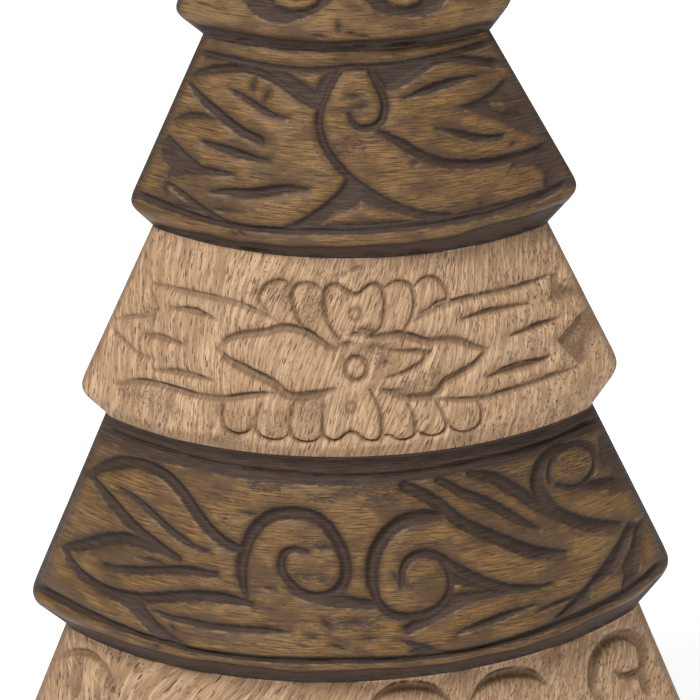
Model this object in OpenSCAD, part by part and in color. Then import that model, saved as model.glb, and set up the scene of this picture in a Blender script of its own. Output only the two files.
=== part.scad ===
// Carved tree figurine: five tiers stacked on two dowels, on a felt-footed base board.
// Each tier has a lens-shaped section: a bowed front, a bowed back and narrow rounded sides.
// Millimetres, +Z up, origin on the floor at the centre of the base, front facing -Y.

/* [Section] */
// Distance from the tree's axis to the axis that each face is turned about
bow_offset = 48; // [40:1:60]
// Rounding of every rim
rim_round = 3; // [1:0.5:4]

/* [Base] */
// Thickness of each felt pad
pad_h = 2; // [1:0.5:3]
// Diameter of each felt pad
pad_d = 16; // [10:1:20]
// Distance of the pads from the middle, along the width
pad_x = 50; // [40:1:54]
// Distance of the pads from the middle, along the depth
pad_y = 20; // [12:1:22]
// Width of the base board
board_w = 166; // [156:1:170]
// Depth of the base board
board_d = 100; // [92:1:104]
// Thickness of the base board
board_h = 8; // [5:1:12]

/* [Dowels] */
// Diameter of both dowels
dowel_d = 8; // [6:1:10]
// Distance of each dowel from the middle
dowel_x = 14; // [10:1:16]
// Clearance between a dowel and its bores, on the diameter
dowel_clearance = 0.1; // [0.05:0.05:0.3]
// Depth of the blind bores in the top tier
blind_depth = 31; // [20:1:36]
// Glue gap left above each dowel in its blind bore
glue_gap = 1; // [0.5:0.5:3]
// Chamfer on the ends of the dowels
dowel_chamfer = 0.8; // [0.4:0.2:1.2]

/* [Bottom tier] */
// Height of the tier
bottom_h = 61.5; // [54:0.5:68]
// Width and depth of its underside
bottom_foot = [171, 105]; // [50:1:200]
// Width and depth at the rim, before it is rounded
bottom_rim = [186, 118.5]; // [50:0.5:200]
// Height of the rim above the underside
bottom_rim_h = 12; // [8:0.5:15]

/* [Fourth tier] */
// Height of the tier
fourth_h = 56.5; // [50:0.5:62]
// Width and depth of its underside, and of the tier below at the joint
fourth_foot = [146, 83]; // [50:0.5:200]
// Width and depth at the rim, before it is rounded
fourth_rim = [162, 96.5]; // [50:0.5:200]
// Height of the rim above the underside
fourth_rim_h = 10.5; // [7:0.5:14]

/* [Third tier] */
// Height of the tier
third_h = 48.5; // [43:0.5:54]
// Width and depth of its underside, and of the tier below at the joint
third_foot = [122, 63]; // [50:0.5:200]
// Width and depth at the rim, before it is rounded
third_rim = [134, 72.5]; // [50:0.5:200]
// Height of the rim above the underside
third_rim_h = 8; // [6:0.5:12]

/* [Second tier] */
// Height of the tier
second_h = 50.5; // [45:0.5:56]
// Width and depth of its underside, and of the tier below at the joint
second_foot = [99, 44]; // [50:0.5:200]
// Width and depth at the rim, before it is rounded
second_rim = [111, 53.5]; // [50:0.5:200]
// Height of the rim above the underside
second_rim_h = 8.5; // [6:0.5:12]

/* [Top tier] */
// Height of the tier, from its underside to the tip
top_h = 89; // [80:0.5:100]
// Width and depth of its underside, and of the tier below at the joint
top_foot = [70, 24]; // [20:0.5:100]
// Width and depth at the rim, before it is rounded
top_rim = [83, 33]; // [20:0.5:100]
// Height of the rim above the underside
top_rim_h = 7.5; // [6:0.5:12]
// Radius of the rounded tip
tip_r = 3; // [2:0.5:5]

/* [Border grooves] */
// Width of a border groove
groove_w = 3; // [1.5:0.5:4]
// Depth of a border groove
groove_depth = 1.2; // [0.5:0.1:2]
// Distance of the lower border groove above the rim, along the flank
lower_groove = 4; // [3.5:0.5:8]
// Distance of the upper border groove below the top edge, along the flank
upper_groove = 5; // [3:0.5:8]

/* [Hidden] */
$fn = 120;

arc_steps = 6;
bore_d = dowel_d + dowel_clearance;

// Height of each piece's underside above the floor
board_z = pad_h;
bottom_z = board_z + board_h;
fourth_z = bottom_z + bottom_h;
third_z = fourth_z + fourth_h;
second_z = third_z + third_h;
top_z = second_z + second_h;
dowel_top = top_z + blind_depth - glue_gap;

natural_wood = "#c7a37d";
dark_wood = "#6b5638";
dowel_wood = "#d9bf94";
felt = "#2f2b28";

function unit(v) = v / norm(v);

// Arc of radius r about centre c, from angle a to angle b
function arc(c, r, a, b) =
    [for (i = [0:arc_steps]) let (t = a + (b - a) * i / arc_steps) c + r * [cos(t), sin(t)]];

// The corner between points a and b, rounded by radius r, for an outline that turns left
function rounded(a, corner, b, r) =
    let (u = unit(a - corner), v = unit(b - corner), half = acos(u * v) / 2,
         centre = corner + unit(u + v) * r / sin(half),
         start = corner + u * r / tan(half) - centre,
         start_angle = atan2(start.y, start.x))
    arc(centre, r, start_angle, start_angle + 180 - 2 * half);

// A V groove cut into the line from a to b, its middle at the given distance from a
function groove(a, b, distance) =
    let (along = unit(b - a), inward = [-along.y, along.x], middle = a + along * distance)
    [middle - along * groove_w / 2, middle + inward * groove_depth, middle + along * groove_w / 2];

// Side of a tier: foot, rounded rim, flank with any border grooves, then the points at its end
function tier_side(foot, rim, end, lower, upper) =
    let (top = end[0], flank = norm(top - rim))
    concat([foot], rounded(foot, rim, top, rim_round),
           lower ? groove(rim, top, lower_groove) : [],
           upper ? groove(rim, top, flank - upper_groove) : [],
           end);

// Arc round the tip about a centre, starting where the flank from the rim touches it
function tip_arc(centre, rim) =
    let (to_rim = rim - centre)
    arc(centre, tip_r, atan2(to_rim.y, to_rim.x) + acos(tip_r / norm(to_rim)), 90);

// Closed outline from the axis out to the given side
function turned(side) = concat([[0, side[0].y]], side, [[0, side[len(side) - 1].y]]);

// Closed outline of the given side and its mirror image
function mirrored(side) =
    concat(side, [for (i = [len(side) - 1:-1:0]) if (side[i].x > 0.001) [-side[i].x, side[i].y]]);

// Solid bowed front and back: each face is turned about an axis set behind the tree's own,
// and the outline seen from the front gives the narrow sides
module lens(face_side, width_side) {
    intersection() {
        translate([0, bow_offset, 0]) rotate_extrude() polygon(turned(face_side));
        translate([0, -bow_offset, 0]) rotate_extrude() polygon(turned(face_side));
        rotate([90, 0, 0])
            linear_extrude(height = 2 * bow_offset + board_d, center = true)
                polygon(mirrored(width_side));
    }
}

module dowel_bores(h) {
    for (side = [-1, 1])
        translate([side * dowel_x, 0, -1]) cylinder(d = bore_d, h = h + 1);
}

// Point of a face outline at the given depth and height
function on_face(depth, z) = [bow_offset + depth / 2, z];

// Tier standing on z = 0; foot, rim and top are each [width, depth]
module tier(h, foot, rim, rim_h, top, bordered) {
    difference() {
        lens(tier_side(on_face(foot.y, 0), on_face(rim.y, rim_h), [on_face(top.y, h)],
                       bordered, bordered),
             tier_side([foot.x / 2, 0], [rim.x / 2, rim_h], [[top.x / 2, h]], false, false));
        dowel_bores(h + 1);
    }
}

module top_tier() {
    face_rim = on_face(top_rim.y, top_rim_h);
    side_rim = [top_rim.x / 2, top_rim_h];
    face_tip = tip_arc(on_face(0, top_h - tip_r), face_rim);
    side_tip = tip_arc([0, top_h - tip_r], side_rim);
    color(dark_wood)
        translate([0, 0, top_z])
            difference() {
                lens(tier_side(on_face(top_foot.y, 0), face_rim, face_tip, true, false),
                     tier_side([top_foot.x / 2, 0], side_rim, side_tip, false, false));
                dowel_bores(blind_depth);
            }
}

module second_tier() {
    color(dark_wood)
        translate([0, 0, second_z])
            tier(second_h, second_foot, second_rim, second_rim_h, top_foot, true);
}

module third_tier() {
    color(natural_wood)
        translate([0, 0, third_z])
            tier(third_h, third_foot, third_rim, third_rim_h, second_foot, false);
}

module fourth_tier() {
    color(dark_wood)
        translate([0, 0, fourth_z])
            tier(fourth_h, fourth_foot, fourth_rim, fourth_rim_h, third_foot, true);
}

module bottom_tier() {
    color(natural_wood)
        translate([0, 0, bottom_z])
            tier(bottom_h, bottom_foot, bottom_rim, bottom_rim_h, fourth_foot, false);
}

// Straight dowel from the base board up into the top tier, both ends chamfered
module dowel(side) {
    r = dowel_d / 2;
    length = dowel_top - bottom_z;
    color(dowel_wood)
        translate([side * dowel_x, 0, bottom_z])
            rotate_extrude()
                polygon([[0, 0], [r - dowel_chamfer, 0], [r, dowel_chamfer],
                         [r, length - dowel_chamfer], [r - dowel_chamfer, length], [0, length]]);
}

module left_dowel() dowel(-1);

module right_dowel() dowel(1);

module base_board() {
    color(dark_wood)
        translate([0, 0, board_z])
            lens([on_face(board_d, 0), on_face(board_d, board_h)],
                 [[board_w / 2, 0], [board_w / 2, board_h]]);
}

module felt_pads() {
    color(felt)
        for (x = [-pad_x, pad_x], y = [-pad_y, pad_y])
            translate([x, y, 0]) cylinder(d = pad_d, h = pad_h);
}

top_tier();
second_tier();
third_tier();
fourth_tier();
bottom_tier();
left_dowel();
right_dowel();
base_board();
felt_pads();
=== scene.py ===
"""Carved tree figurine: five hand-carved wooden tiers, dark rubbed and natural in turn."""

import math

import bpy
import numpy as np
from mathutils import Matrix, Vector, geometry


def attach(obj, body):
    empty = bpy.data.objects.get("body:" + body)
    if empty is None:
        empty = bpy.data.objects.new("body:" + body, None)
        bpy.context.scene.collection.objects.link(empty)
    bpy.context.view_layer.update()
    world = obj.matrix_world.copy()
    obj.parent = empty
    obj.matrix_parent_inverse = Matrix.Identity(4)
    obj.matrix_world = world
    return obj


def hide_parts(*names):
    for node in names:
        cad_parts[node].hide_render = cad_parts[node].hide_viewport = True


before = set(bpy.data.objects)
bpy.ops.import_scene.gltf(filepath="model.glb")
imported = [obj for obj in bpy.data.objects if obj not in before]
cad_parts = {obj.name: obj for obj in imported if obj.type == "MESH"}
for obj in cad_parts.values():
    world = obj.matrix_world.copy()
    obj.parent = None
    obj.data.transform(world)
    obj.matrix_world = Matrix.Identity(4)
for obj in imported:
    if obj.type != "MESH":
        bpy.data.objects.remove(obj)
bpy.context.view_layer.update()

MM = 0.001
# Section of the tiers and their mesh, mm
BOW = 48.0            # from the tree's axis to the axis each face bows about
EDGE_ROOM = 1.03      # a face runs out this much beyond the half width, which leaves a blunt edge
NOSE = 1.5            # rounding of the narrow sides
NOSE_COLUMNS = 5      # mesh columns round each narrow side
COLUMN = 0.42         # between mesh columns on a face
ROW = 0.42            # between mesh rows
RIM_BLUR = 2.2        # spread of the rounding of a rim, measured along the flank
RIM_REACH = 4.2       # how far along the flank that rounding goes
SHARP = math.radians(75)    # edges that bend more than this stay sharp
# Dowel bores, mm
DOWEL_X = 14.0
BORE_R = 4.05
BORE_SIDES = 32
# Carving, mm
FAR = 8.0             # distance given to a point with no cut near it
SIDE_FADE = 2.5       # the carving runs out over this distance from a narrow side
SIDE_SHADE = 0.6      # painted shade covers the narrow sides as far as this
SEGMENT = 0.7         # between the points of a smoothed stroke
RING_SIDES = 16
# Third coordinate of the grain, so that the back and the bores don't repeat the front's
BACK_GRAIN = 37.0
BORE_GRAIN = 90.0
# Camera
VIEW_TILT = math.radians(21)
VIEW_ROLL = math.radians(-0.8)
VIEW_DISTANCE = 1.3   # m
VIEW_CENTRE = Vector((0, 0, 0.144))
VIEW_LENS = 267.4
# Studio, m
TREE_MIDDLE = Vector((0, 0, 0.15))
FLOOR_REACH = 4.0


# ---- camera and studio

def make_camera():
    """Looks down at a point on the tree's axis."""
    data = bpy.data.cameras.new("camera")
    data.sensor_width = 36
    data.lens = VIEW_LENS
    camera = bpy.data.objects.new("camera", data)
    bpy.context.scene.collection.objects.link(camera)
    back = Vector((0, -math.cos(VIEW_TILT), math.sin(VIEW_TILT)))
    roll = Matrix.Rotation(VIEW_ROLL, 4, "Z")
    look = (-back).to_track_quat("-Z", "Y").to_matrix().to_4x4()
    camera.matrix_world = Matrix.Translation(VIEW_CENTRE + back * VIEW_DISTANCE) @ look @ roll
    bpy.context.scene.camera = camera


def area_light(name, place, size, power):
    """Round soft light that points at the middle of the tree; place and size in metres, power in watts."""
    data = bpy.data.lights.new(name, "AREA")
    data.shape = "DISK"
    data.size = size
    data.energy = power
    light = bpy.data.objects.new(name, data)
    light.location = place
    light.rotation_euler = (TREE_MIDDLE - Vector(place)).to_track_quat("-Z", "Y").to_euler()
    bpy.context.scene.collection.objects.link(light)


def make_studio():
    scene = bpy.context.scene
    scene.view_settings.view_transform = "Standard"
    scene.world = bpy.data.worlds.new("studio")
    scene.world.use_nodes = True
    background = scene.world.node_tree.nodes["Background"]
    background.inputs["Color"].default_value = (1, 1, 1, 1)
    background.inputs["Strength"].default_value = 0.42
    area_light("key", (-0.45, -0.75, 1.25), 0.5, 19)
    area_light("top", (0.35, -0.1, 1.4), 0.7, 6)
    mesh = bpy.data.meshes.new("floor")
    corners = [(x * FLOOR_REACH, y * FLOOR_REACH, 0) for x, y in ((-1, -1), (1, -1), (1, 1), (-1, 1))]
    mesh.from_pydata(corners, [], [(0, 1, 2, 3)])
    floor = bpy.data.objects.new("floor", mesh)
    scene.collection.objects.link(floor)
    m = Material("pale_floor")
    shader = m.nodes.new("ShaderNodeBsdfPrincipled")
    shader.inputs["Base Color"].default_value = (0.93, 0.93, 0.93, 1)
    shader.inputs["Roughness"].default_value = 0.9
    shader.inputs["Emission Color"].default_value = (1, 1, 1, 1)
    shader.inputs["Emission Strength"].default_value = 0.35
    link(shader.outputs[0], m.out.inputs[0])
    mesh.materials.append(bpy.data.materials["pale_floor"])


# ---- material helpers

def link(source, target):
    target.id_data.links.new(source, target)


def value_in(socket, value):
    """Sets a socket from a number, a colour or another node's output."""
    if isinstance(value, bpy.types.NodeSocket):
        link(value, socket)
    elif isinstance(value, tuple) and len(value) == 3 and socket.type == "RGBA":
        socket.default_value = (*value, 1)
    else:
        socket.default_value = value


class Material:
    """A material in the making: each method adds a shader node and returns its output."""

    def __init__(self, name):
        material = bpy.data.materials.new(name)
        material.use_nodes = True
        self.nodes = material.node_tree.nodes
        self.nodes.clear()
        self.out = self.nodes.new("ShaderNodeOutputMaterial")

    def place(self):
        return self.nodes.new("ShaderNodeTexCoord").outputs["Object"]

    def attribute(self, name, output="Fac"):
        node = self.nodes.new("ShaderNodeAttribute")
        node.attribute_name = name
        return node.outputs[output]

    def maths(self, operation, a, b, clamp=False):
        node = self.nodes.new("ShaderNodeMath")
        node.operation = operation
        node.use_clamp = clamp
        value_in(node.inputs[0], a)
        value_in(node.inputs[1], b)
        return node.outputs[0]

    def times(self, a, b, clamp=False):
        return self.maths("MULTIPLY", a, b, clamp)

    def ramp(self, value, low, high, start=0.0, end=1.0):
        """Smooth step of value from low to high, mapped onto start to end."""
        node = self.nodes.new("ShaderNodeMapRange")
        node.interpolation_type = "SMOOTHSTEP"
        value_in(node.inputs["Value"], value)
        node.inputs["From Min"].default_value = low
        node.inputs["From Max"].default_value = high
        node.inputs["To Min"].default_value = start
        node.inputs["To Max"].default_value = end
        return node.outputs[0]

    def mix(self, factor, a, b):
        """Colour that goes from a to b as the factor goes from 0 to 1."""
        node = self.nodes.new("ShaderNodeMix")
        node.data_type = "RGBA"
        value_in(node.inputs["Factor"], factor)
        value_in(node.inputs[6], a)
        value_in(node.inputs[7], b)
        return node.outputs[2]

    def texture(self, kind, vector, scale):
        """Texture node whose features are about 1/scale long on each axis of the vector."""
        node = self.nodes.new(kind)
        stretched = self.nodes.new("ShaderNodeVectorMath")
        stretched.operation = "MULTIPLY"
        value_in(stretched.inputs[0], vector)
        stretched.inputs[1].default_value = scale
        link(stretched.outputs[0], node.inputs["Vector"])
        node.inputs["Scale"].default_value = 1.0
        return node

    def noise(self, vector, scale, detail=3.0, roughness=0.55):
        node = self.texture("ShaderNodeTexNoise", vector, scale)
        node.inputs["Detail"].default_value = detail
        node.inputs["Roughness"].default_value = roughness
        return node.outputs["Fac"]

    def cells(self, vector, scale):
        """Distance to the nearest of a scatter of points, for pores and flecks."""
        return self.texture("ShaderNodeTexVoronoi", vector, scale).outputs["Distance"]

    def bump(self, height, strength, distance, normal=None):
        node = self.nodes.new("ShaderNodeBump")
        node.inputs["Strength"].default_value = strength
        node.inputs["Distance"].default_value = distance
        link(height, node.inputs["Height"])
        if normal is not None:
            link(normal, node.inputs["Normal"])
        return node.outputs[0]

    def finish(self, colour, roughness, normal, metallic=0.0, specular=0.5):
        shader = self.nodes.new("ShaderNodeBsdfPrincipled")
        value_in(shader.inputs["Base Color"], colour)
        value_in(shader.inputs["Roughness"], roughness)
        value_in(shader.inputs["Metallic"], metallic)
        shader.inputs["Specular IOR Level"].default_value = specular
        link(normal, shader.inputs["Normal"])
        link(shader.outputs[0], self.out.inputs[0])


# ---- materials

def dark_bronze_wood():
    """Dark stain left in the cuts, bronze-gold rubbed dry over the raised carving, with painted shade round
    the cuts and along the narrow sides, painted shadow inside the upper side of each cut and a painted
    highlight below it.
    """
    m = Material("rubbed_bronze_wood")
    grain = m.attribute("grain", "Vector")
    edge = m.attribute("edge")
    wear_and_sheen = m.attribute("wear_and_sheen")
    upper_lip_shadow = m.attribute("upper_lip_shadow")
    lower_lip_highlight = m.attribute("lower_lip_highlight")
    ragged = m.noise(grain, (0.45, 1.3, 1), 4, 0.65)
    brushed = m.noise(grain, (0.16, 3.6, 1), 4, 0.7)
    cloudy = m.noise(grain, (0.07, 0.13, 1), 3)
    patchy = m.noise(grain, (0.2, 0.5, 1), 4, 0.6)
    flecks = m.noise(grain, (0.5, 2.4, 1), 5, 0.72)
    scratches = m.noise(grain, (0.11, 1.5, 1), 5, 0.75)
    hairs = m.noise(grain, (0.3, 5.5, 1), 3, 0.6)
    shift = m.times(m.maths("SUBTRACT", ragged, 0.5), 2.2)
    rub = m.ramp(m.maths("ADD", edge, shift), -0.1, 0.12)
    scuffed = m.times(m.maths("MAXIMUM", wear_and_sheen, 0), 0.3)
    bare = m.ramp(m.maths("ADD", flecks, scuffed), 0.6, 0.67, 1, 0.1)
    rub = m.times(rub, bare)
    bronze = m.mix(m.ramp(brushed, 0.38, 0.62), (0.088, 0.045, 0.016), (0.225, 0.127, 0.047))
    bronze = m.mix(m.ramp(wear_and_sheen, -1, 0, 0.6, 0), bronze, (0.29, 0.18, 0.08))
    bronze = m.mix(m.ramp(cloudy, 0.45, 0.62, 0, 0.8), bronze, (0.080, 0.044, 0.023))
    bronze = m.mix(m.ramp(scratches, 0.555, 0.59, 0, 0.85), bronze, (0.046, 0.027, 0.017))
    bronze = m.mix(m.ramp(hairs, 0.57, 0.63, 0, 0.6), bronze, (0.040, 0.023, 0.015))
    # painted shade: the bronze darkens to deep brown within a few millimetres of each cut and of the narrow
    # sides, broken up by the flecks
    shade = m.maths("ADD", edge, m.times(flecks, 4.0))
    bronze = m.mix(m.ramp(shade, 1.6, 3.9, 0.85, 0), bronze, (0.052, 0.029, 0.016))
    # painted highlight: paler gold in patches along the lower edge of each cut, where it catches the light
    painted_highlight = m.times(lower_lip_highlight, m.ramp(patchy, 0.45, 0.62, 0, 0.4))
    bronze = m.mix(painted_highlight, bronze, (0.31, 0.195, 0.085))
    stain = m.mix(m.ramp(brushed, 0.38, 0.64), (0.026, 0.015, 0.010), (0.068, 0.041, 0.029))
    # painted shadow: near-black just inside the upper side of each cut
    stain = m.mix(m.times(upper_lip_shadow, 0.75), stain, (0.010, 0.007, 0.006))
    colour = m.mix(rub, stain, bronze)
    polished = m.times(rub, 0.16)
    rough = m.maths("SUBTRACT", m.ramp(brushed, 0.2, 0.8, 0.58, 0.78), polished)
    normal = m.bump(brushed, 0.5, 0.00015)
    normal = m.bump(rub, 0.5, 0.00006, normal)
    m.finish(colour, rough, normal, m.times(rub, 0.2), 0.25)


def natural_wood():
    """Bare mango wood: tan with fine dark vessel lines, browner in the cuts, with painted shadow lines
    inside the upper side of the cuts and painted shade along the narrow sides.
    """
    m = Material("bare_mango_wood")
    grain = m.attribute("grain", "Vector")
    edge = m.attribute("edge")
    wear_and_sheen = m.attribute("wear_and_sheen")
    upper_lip_shadow = m.attribute("upper_lip_shadow")
    broad = m.noise(grain, (0.09, 0.025, 1), 3)
    streaks = m.noise(grain, (1.1, 0.06, 1), 4, 0.65)
    fibres = m.noise(grain, (4.0, 0.17, 1), 4, 0.6)
    dashes = m.noise(grain, (2.1, 0.26, 1), 2, 0.5)
    long_pores = m.ramp(m.cells(grain, (1.8, 0.24, 1)), 0.16, 0.28, 1, 0)
    short_pores = m.ramp(m.cells(grain, (1.7, 0.6, 1)), 0.12, 0.22, 1, 0)
    pores = m.maths("MAXIMUM", long_pores, m.times(short_pores, 0.7))
    clusters = m.ramp(m.noise(grain, (0.16, 0.09, 1), 2), 0.36, 0.58, 0.5, 1)
    pores = m.times(pores, clusters)
    colour = m.mix(m.ramp(streaks, 0.4, 0.6), (0.49, 0.327, 0.198), (0.272, 0.164, 0.089))
    colour = m.mix(m.ramp(broad, 0.42, 0.66, 0, 0.55), colour, (0.33, 0.195, 0.10))
    colour = m.mix(m.ramp(fibres, 0.44, 0.64, 0, 0.62), colour, (0.24, 0.142, 0.083))
    colour = m.mix(m.ramp(dashes, 0.56, 0.66, 0, 0.75), colour, (0.16, 0.09, 0.05))
    colour = m.mix(pores, colour, (0.062, 0.035, 0.020))
    # paler where the value is negative: light torn fibres, and a painted sheen on the third tier's left
    # diamond leaf
    colour = m.mix(m.ramp(wear_and_sheen, -1, 0, 0.5, 0), colour, (0.56, 0.45, 0.33))
    ragged = m.noise(grain, (1.8, 1.0, 1), 3)
    shift = m.times(m.maths("SUBTRACT", ragged, 0.5), 0.9)
    # within about a millimetre of the narrow sides this tint of the cuts is painted shade
    inside = m.ramp(m.maths("ADD", edge, shift), -0.25, 0.4, 1, 0)
    inside = m.times(inside, m.ramp(edge, -3.2, -1.7, 0.1, 0.6))
    cut = m.mix(fibres, (0.215, 0.130, 0.073), (0.125, 0.072, 0.040))
    colour = m.mix(inside, colour, cut)
    dirty = m.times(wear_and_sheen, m.ramp(ragged, 0.35, 0.65, 0.3, 1.2), True)
    colour = m.mix(dirty, colour, (0.12, 0.068, 0.04))
    stipple = m.ramp(m.cells(grain, (1.5, 1.0, 1)), 0.2, 0.34, 0.8, 0)
    end_grain = m.times(stipple, m.times(wear_and_sheen, 4.0, True))
    colour = m.mix(end_grain, colour, (0.105, 0.058, 0.032))
    # painted shadow: broken near-black lines just inside the upper side of each cut
    broken = m.ramp(m.noise(grain, (0.12, 0.12, 1), 4), 0.38, 0.62, 0.4, 1)
    line = m.ramp(m.times(upper_lip_shadow, broken), 0.2, 0.8)
    colour = m.mix(m.times(line, 0.85), colour, (0.028, 0.018, 0.014))
    relief = m.maths("SUBTRACT", fibres, m.times(pores, 1.2))
    normal = m.bump(relief, 0.6, 0.00016)
    m.finish(colour, m.ramp(fibres, 0.2, 0.8, 0.6, 0.8), normal, 0.0, 0.25)


def plain_wood(name, light, dark, along, rough):
    """Uncarved wood in metres: along is the axis that its fibres run in."""
    m = Material(name)
    place = m.place()
    fine = [3000.0] * 3
    fine[along] = 120.0
    wide = [500.0] * 3
    wide[along] = 12.0
    fibres = m.noise(place, tuple(fine), 3)
    streaks = m.noise(place, tuple(wide), 3)
    pore_scale = [1100.0] * 3
    pore_scale[along] = 190.0
    pores = m.ramp(m.cells(place, tuple(pore_scale)), 0.1, 0.18, 1, 0)
    colour = m.mix(m.ramp(streaks, 0.3, 0.7), light, dark)
    colour = m.mix(m.times(pores, 0.5), colour, dark)
    relief = m.maths("SUBTRACT", fibres, pores)
    normal = m.bump(relief, 0.4, 0.0001)
    m.finish(colour, m.ramp(fibres, 0.2, 0.8, rough, rough + 0.15), normal)


def felt():
    m = Material("pressed_felt")
    place = m.place()
    fuzz = m.noise(place, (1800, 1800, 1800), 5, 0.8)
    tufts = m.noise(place, (400, 400, 400), 3)
    colour = m.mix(m.ramp(fuzz, 0.35, 0.65), (0.012, 0.011, 0.010), (0.05, 0.045, 0.04))
    colour = m.mix(m.ramp(tufts, 0.4, 0.7, 0, 0.4), colour, (0.03, 0.025, 0.02))
    normal = m.bump(fuzz, 0.8, 0.0003)
    m.finish(colour, 0.95, normal, 0.0, 0.1)


# ---- carving

def smooth(points, step=SEGMENT):
    """Catmull-Rom curve through the points, with a point about every step."""
    p = np.array(points, float)
    if len(p) < 3:
        return p
    p = np.vstack([2 * p[0] - p[1], p, 2 * p[-1] - p[-2]])
    curve = []
    for a, b, c, d in zip(p[:-3], p[1:-2], p[2:-1], p[3:]):
        count = max(2, int(np.hypot(*(c - b)) / step))
        for t in np.arange(count) / count:
            curve.append(0.5 * (2 * b + (c - a) * t + (2 * a - 5 * b + 4 * c - d) * t ** 2
                                + (3 * b - a - 3 * c + d) * t ** 3))
    curve.append(p[-2])
    return np.array(curve)


def line_height(points, x):
    """Height at x of the curve through the points."""
    curve = smooth(points, 1.5)
    return np.interp(x, curve[:, 0], curve[:, 1])


class Carving:
    """Cuts on one face. Points are (x, h) in mm: across the face and above the tier's foot."""

    def __init__(self, x, h):
        self.x = x
        self.h = h
        self.edge = np.full(x.shape, FAR)    # mm to the nearest cut, negative inside it
        self.depth = np.zeros(x.shape)
        self.wear_and_sheen = np.zeros(x.shape)

    def near(self, path, margin):
        low = path.min(0) - margin
        high = path.max(0) + margin
        inside = (self.x > low[0]) & (self.x < high[0]) & (self.h > low[1]) & (self.h < high[1])
        return np.nonzero(inside)

    def to_path(self, path, where):
        """For each segment of the path: distance to it and how far along it the foot falls."""
        x, h = self.x[where], self.h[where]
        for i, (a, b) in enumerate(zip(path[:-1], path[1:])):
            run = b - a
            t = ((x - a[0]) * run[0] + (h - a[1]) * run[1]) / max(run @ run, 1e-9)
            t = np.clip(t, 0, 1)
            yield i, t, np.hypot(x - a[0] - t * run[0], h - a[1] - t * run[1])

    def groove(self, points, width, ends=(0.3, 0.3), deep=0.5):
        """V cut along the points; ends are the shares of the width left at its two ends."""
        path = smooth(points)
        steps = np.hypot(*np.diff(path, axis=0).T)
        run = np.concatenate([[0], np.cumsum(steps)])
        taper = min(0.4 * run[-1], 7.0)
        half = np.interp(run, [0, taper, run[-1] - taper, run[-1]], [ends[0], 1, 1, ends[1]])
        half *= width / 2
        where = self.near(path, width + 4)
        edge = np.full(where[0].shape, FAR)
        cut = np.zeros(where[0].shape)
        for i, t, far in self.to_path(path, where):
            reach = half[i] + (half[i + 1] - half[i]) * t
            edge = np.minimum(edge, far - reach)
            cut = np.maximum(cut, 2 * deep * reach * (1 - (far / reach) ** 2))
        self.edge[where] = np.minimum(self.edge[where], edge)
        self.depth[where] = np.maximum(self.depth[where], cut)

    def grooves(self, width, *strokes, **options):
        for points in strokes:
            self.groove(points, width, **options)

    def outline_distance(self, corners, where):
        """Signed distance to a closed outline, positive inside."""
        path = np.array(corners + corners[:1], float)
        x, h = self.x[where], self.h[where]
        far = np.full(x.shape, 99.0)
        for _, _, distance in self.to_path(path, where):
            far = np.minimum(far, distance)
        inside = np.zeros(x.shape, bool)
        for (x0, h0), (x1, h1) in zip(path[:-1], path[1:]):
            if h0 != h1:
                crosses = (h0 > h) != (h1 > h)
                inside ^= crosses & (x < x0 + (h - h0) * (x1 - x0) / (h1 - h0))
        return np.where(inside, far, -far)

    def recess(self, corners, deep=0.9):
        """Ground cut back inside the outline."""
        where = self.near(np.array(corners, float), 4)
        far = self.outline_distance(corners, where)
        self.edge[where] = np.minimum(self.edge[where], -far)
        self.depth[where] = np.maximum(self.depth[where], deep * np.clip(far / 0.9, 0, 1))

    def island(self, corners, keep=0.5):
        """Rubbed patch left standing inside a recess."""
        where = self.near(np.array(corners, float), 4)
        far = self.outline_distance(corners, where)
        self.edge[where] = np.maximum(self.edge[where], far)
        lift = np.clip(far / 0.8, 0, 1)
        self.depth[where] *= 1 - (1 - keep) * lift

    def stain(self, corners, strength):
        """Worn or stained patch with a soft outline; a negative strength makes a pale one, which is rubbed
        or torn wood in most places and a painted sheen on the third tier's left diamond leaf.
        """
        where = self.near(np.array(corners, float), 3)
        far = self.outline_distance(corners, where)
        patch = strength * np.clip(far / 3 + 0.5, 0, 1)
        self.wear_and_sheen[where] = np.clip(self.wear_and_sheen[where] + patch, -1, 1.3)

    def stains(self, *patches):
        """Several stains, each given by its strength and then its corners."""
        for strength, *corners in patches:
            self.stain(corners, strength)

    def marks(self, *places, width=0.8):
        """Short nicks, each given by its two ends."""
        for a, b in places:
            middle = ((a[0] + b[0]) / 2, (a[1] + b[1]) / 2)
            self.groove([a, middle, b], width, ends=(0.2, 0.2), deep=0.35)

    def ring(self, centre, radius, width, deep=0.5):
        turn = [2 * math.pi * k / RING_SIDES for k in range(RING_SIDES + 1)]
        points = [(centre[0] + radius * math.cos(t), centre[1] + radius * math.sin(t)) for t in turn]
        self.groove(points, width, ends=(1, 1), deep=deep)

    def below(self, points):
        """Everything under the line is left unrubbed."""
        self.edge = np.minimum(self.edge, self.h - line_height(points, self.x))

    def above(self, points):
        """Everything over the line is left unrubbed."""
        self.edge = np.minimum(self.edge, line_height(points, self.x) - self.h)


# ---- tier geometry

def face(depth, x):
    """How far a bowed face stands in front of the tree's axis, x mm from its middle."""
    return np.sqrt(np.maximum((BOW + depth) ** 2 - x ** 2, 0)) - BOW


def lens_depth(half):
    """Depth at the middle of a face that meets the other face just past its sides."""
    return np.sqrt(BOW ** 2 + (EDGE_ROOM * half) ** 2) - BOW


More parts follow.
